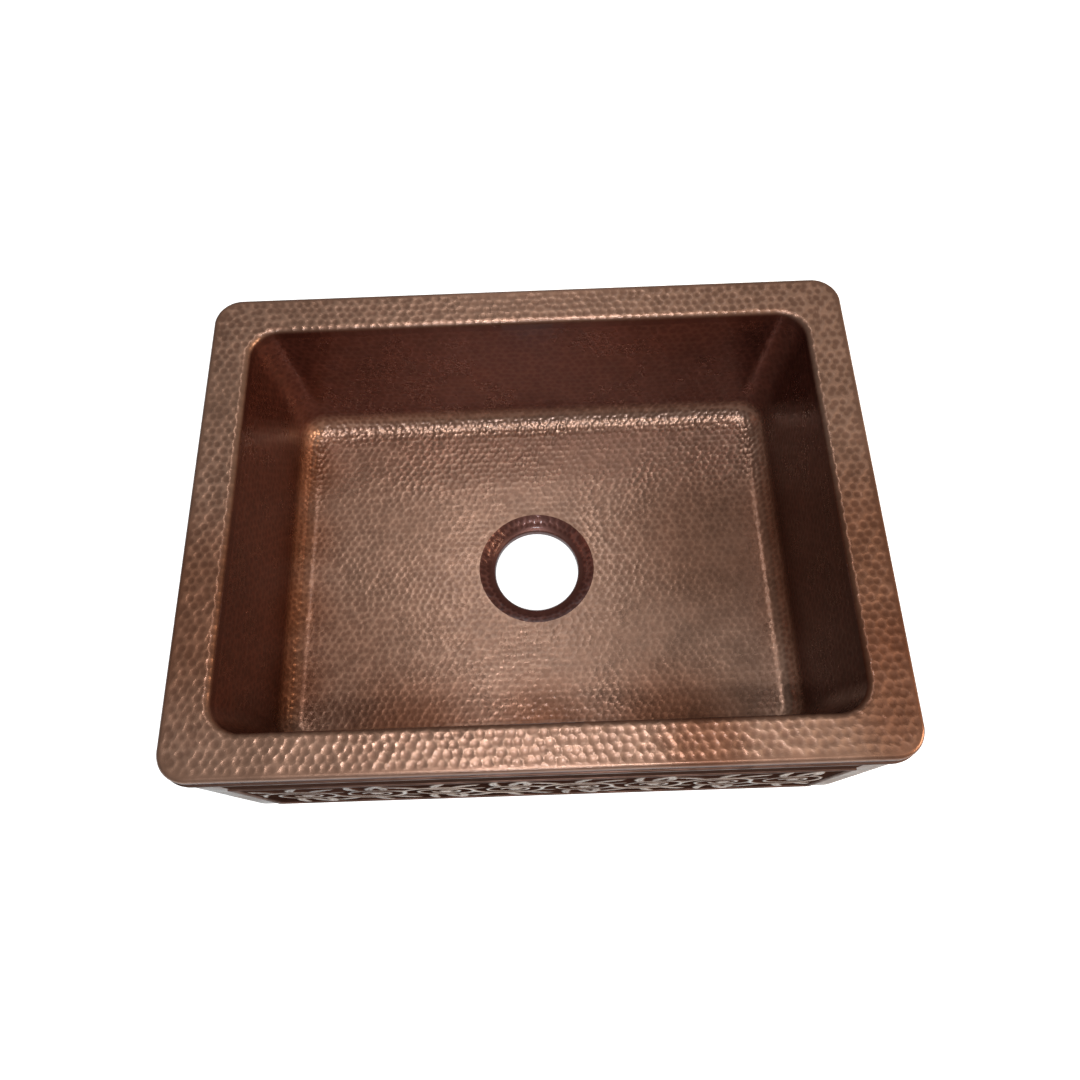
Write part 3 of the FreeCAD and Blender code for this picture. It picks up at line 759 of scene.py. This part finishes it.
links.new(cool.outputs[2], glow.inputs["Color"])
both = nodes.new("ShaderNodeAddShader")
links.new(matt.outputs[0], both.inputs[0])
links.new(glow.outputs[0], both.inputs[1])
links.new(both.outputs[0], nodes["Material Output"].inputs["Surface"])
floor_mesh.materials.append(paper)

world = bpy.data.worlds.new("room")
bpy.context.scene.world = world
world.use_nodes = True
nodes, links = world.node_tree.nodes, world.node_tree.links
room = nodes["Background"]
room.inputs["Color"].default_value = (1, 1, 1, 1)
path = nodes.new("ShaderNodeLightPath")
strength = nodes.new("ShaderNodeMapRange")
links.new(path.outputs["Is Camera Ray"], strength.inputs[0])
strength.inputs[3].default_value = ROOM_LIGHT
strength.inputs[4].default_value = 1.0
links.new(strength.outputs[0], room.inputs["Strength"])


def lamp(name, place, size, power, colour):
    """Soft oblong lamp that shines from its place towards the bowl."""
    data = bpy.data.lights.new(name, "AREA")
    data.shape = "RECTANGLE"
    data.size, data.size_y = size
    data.energy = power
    data.color = colour
    made = bpy.data.objects.new(name, data)
    made.location = place
    made.rotation_euler = (Vector(AIM) - Vector(place)).to_track_quat("-Z", "Y").to_euler()
    bpy.context.scene.collection.objects.link(made)


lamp("overhead_lamp", (-0.07, -0.16, 2.2), (0.30, 0.24), 5.4, (1.0, 0.98, 0.97))
lamp("front_lamp", (0.05, -0.90, 2.2), (0.9, 0.12), 17.2, (0.97, 1.0, 1.0))
lamp("middle_lamp", (-0.10, 0.70, 2.2), (0.5, 0.3), 2.3, (1.0, 0.97, 0.92))
lamp("back_lamp", (-0.10, 1.25, 2.2), (0.6, 0.3), 1.4, (1.0, 0.97, 0.92))
lamp("back_window", (0, 2.2, 1.8), (1.0, 0.6), 1.4, (1.0, 0.97, 0.95))
lamp("side_lamp", (2.2, -0.6, 1.0), (0.9, 0.7), 38, (1.0, 0.76, 0.52))
lamp("side_window", (1.2, -0.3, 1.9), (1.0, 1.0), 3.0, (1.0, 0.88, 0.72))
lamp("front_window", (-0.1, -2.2, 2.05), (0.5, 0.25), 12.0, (0.80, 0.90, 1.0))

camera_data = bpy.data.cameras.new("camera")
camera_data.sensor_width = 36.0
camera_data.lens = 27.830
camera = bpy.data.objects.new("camera", camera_data)
camera.location = (0.011571, -0.303639, 0.873324)
camera.rotation_euler = Euler(np.radians([21.74330, 1.17080, -1.74259]), "XYZ")
bpy.context.scene.collection.objects.link(camera)
bpy.context.scene.camera = camera
bpy.context.scene.view_settings.view_transform = "Standard"
